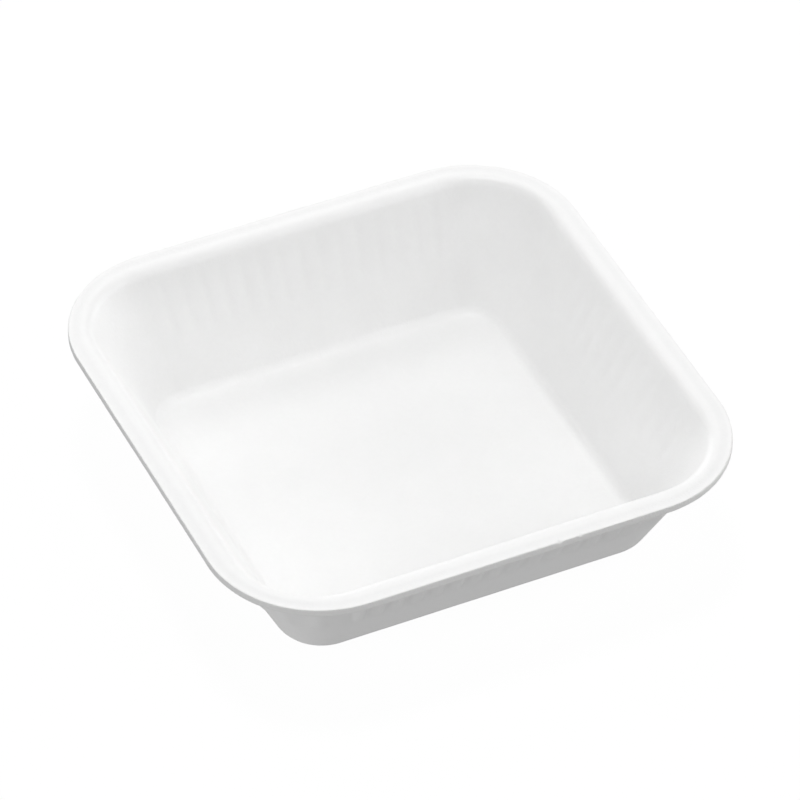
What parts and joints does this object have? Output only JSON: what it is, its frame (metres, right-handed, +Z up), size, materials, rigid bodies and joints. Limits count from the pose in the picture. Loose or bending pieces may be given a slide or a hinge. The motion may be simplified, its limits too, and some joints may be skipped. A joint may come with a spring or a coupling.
{
  "type": "foam deli tray",
  "caption": "Square one-piece foam tray with a flat floor, sloping fluted walls, rounded corners and a flat rim, for holding portioned deli food.",
  "frame": {"origin": "middle of the underside, on the surface the tray stands on", "axes": "+Z up through the open mouth; +X along the front edge of the rim to the right; +Y from the front edge, which has two small dents, to the back edge"},
  "size_m": [0.135, 0.135, 0.0325],
  "materials": {
    "foam": "white polystyrene foam with a smooth satin skin and a fine cell grain"
  },
  "bodies": {
    "root": {"tray": "foam"}
  },
  "joints": []
}
